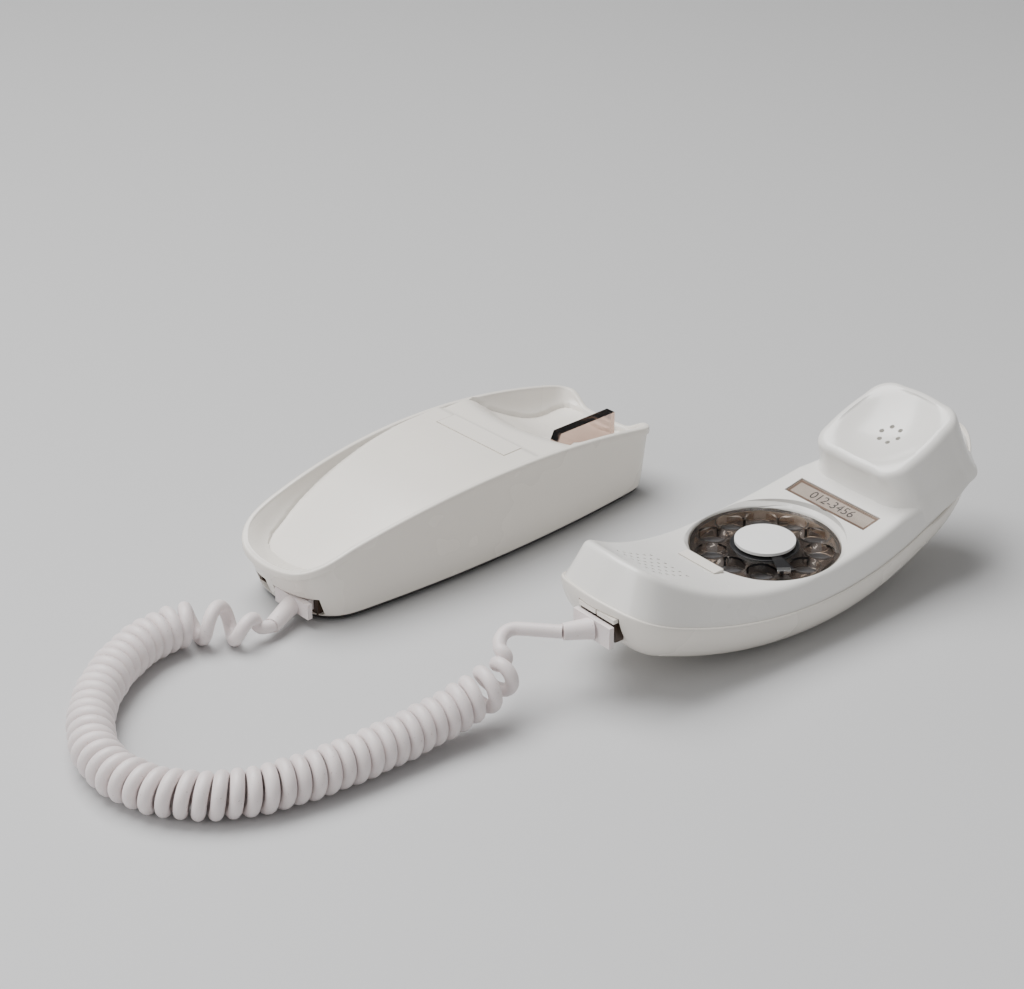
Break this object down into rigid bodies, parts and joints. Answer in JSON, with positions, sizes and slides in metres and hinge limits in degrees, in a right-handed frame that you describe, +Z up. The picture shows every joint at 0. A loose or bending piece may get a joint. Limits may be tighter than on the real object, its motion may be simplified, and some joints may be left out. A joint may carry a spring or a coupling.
{
  "type": "bedside telephone",
  "caption": "Compact bedside telephone off its cradle: a low two-ended base, a curly cord, and a curved handset that holds the rotary dial.",
  "frame": {"origin": "on the table, midway along and across the cradle base, in the plane of its feet", "axes": "+X along the base towards its receiver end, +Z up; the handset lies beside the base on the -Y side"},
  "size_m": [0.3798, 0.1968, 0.0683],
  "materials": {
    "ivory_plastic": "gloss",
    "black_steel": "satin",
    "foot_rubber": "matte",
    "smoked_acrylic": "gloss",
    "hub_white": "satin",
    "plate_grey": "matte",
    "stop_black": "satin",
    "steel": "brushed",
    "gong_brass": "satin",
    "copper_winding": "satin",
    "board_green": "matte",
    "phenolic": "matte",
    "card_paper": "matte",
    "window_clear": "gloss",
    "cord_vinyl": "satin"
  },
  "bodies": {
    "base": {"base_housing": "ivory_plastic", "base_pan": "black_steel", "rubber_feet": "foot_rubber", "saddle_plate": "ivory_plastic", "base_screws": "steel", "ringer_frame": "steel", "ringer_gong": "gong_brass", "ringer_coil": "copper_winding", "ringer_core": "steel", "network_board": "board_green", "network_capacitor": "phenolic", "induction_coil": "copper_winding", "hook_bracket": "steel", "hook_pivot_pin": "steel", "hook_spring": "steel", "hook_switch": "phenolic", "base_cord_jack": "phenolic", "line_jack": "phenolic", "base_plug": "cord_vinyl", "base_strain_relief": "cord_vinyl", "cord_lead_base": "cord_vinyl", "cord_coil": "cord_vinyl", "cord_lead_handset": "cord_vinyl"},
    "clapper": {"ringer_clapper": "steel"},
    "volume_wheel": {"volume_wheel": "ivory_plastic"},
    "hook_lever": {"hook_lever": "smoked_acrylic"},
    "handset": {"handset_front_shell": "ivory_plastic", "handset_rear_shell": "ivory_plastic", "number_plate": "plate_grey", "dial_mount_plate": "steel", "governor_case": "steel", "dial_main_spring": "steel", "dial_contacts": "phenolic", "dial_lamp": "window_clear", "handset_board": "board_green", "recall_switch": "phenolic", "number_card": "card_paper", "card_window": "window_clear", "receiver_capsule": "steel", "receiver_gasket": "foot_rubber", "transmitter_capsule": "steel", "transmitter_cup": "phenolic", "handset_cord_jack": "phenolic", "handset_plug": "cord_vinyl", "plug_latch": "ivory_plastic", "handset_strain_relief": "cord_vinyl", "handset_screws": "steel"},
    "dial_wheel": {"finger_wheel": "smoked_acrylic", "dial_shaft": "steel", "hub_cap": "hub_white", "main_gear": "gong_brass"},
    "governor": {"governor_gear": "gong_brass"},
    "finger_stop": {"finger_stop": "stop_black"},
    "recall_button": {"recall_button": "ivory_plastic"}
  },
  "joints": [
    {"name": "handset_lift", "type": "slide", "parent": "base", "child": "handset", "axis": [0, 0, 1], "range_m": [0, 0.12]},
    {"name": "hook_press", "type": "hinge", "parent": "base", "child": "hook_lever", "pos_m": [0.0415, -0.0198, 0.0256], "axis": [0, 1, 0], "range_deg": [0, 7], "stiffness_Nm_per_rad": 0.05, "springref_deg": -11.46},
    {"name": "clapper_swing", "type": "hinge", "parent": "base", "child": "clapper", "pos_m": [-0.017, -0.014, 0.011], "axis": [0, 0, 1], "range_deg": [-4, 4], "stiffness_Nm_per_rad": 0.002},
    {"name": "volume_turn", "type": "hinge", "parent": "base", "child": "volume_wheel", "pos_m": [0.008, 0.0244, 0.007], "axis": [0, 0, 1], "range_deg": [0, 150]},
    {"name": "dial_turn", "type": "hinge", "parent": "handset", "child": "dial_wheel", "pos_m": [0.049, -0.1285, 0.0304], "axis": [0, 0, 1], "range_deg": [-330, 0], "stiffness_Nm_per_rad": 0.004, "springref_deg": 28.65},
    {"name": "governor_spin", "type": "hinge", "parent": "handset", "child": "governor", "pos_m": [0.03623, -0.11417, 0.0174], "axis": [0, 0, 1], "range_deg": [0, 990]},
    {"name": "stop_travel", "type": "hinge", "parent": "handset", "child": "finger_stop", "pos_m": [0.049, -0.1285, 0.0304], "axis": [0, 0, 1], "range_deg": [-33, 0], "stiffness_Nm_per_rad": 0.004, "springref_deg": 17.19},
    {"name": "recall_press", "type": "slide", "parent": "handset", "child": "recall_button", "axis": [0, 0, -1], "range_m": [0, 0.0012], "stiffness_N_per_m": 600, "springref_m": -0.001}
  ],
  "couplings": [
    {"joint": "governor_spin", "follows": "dial_turn", "ratio": -3}
  ]
}
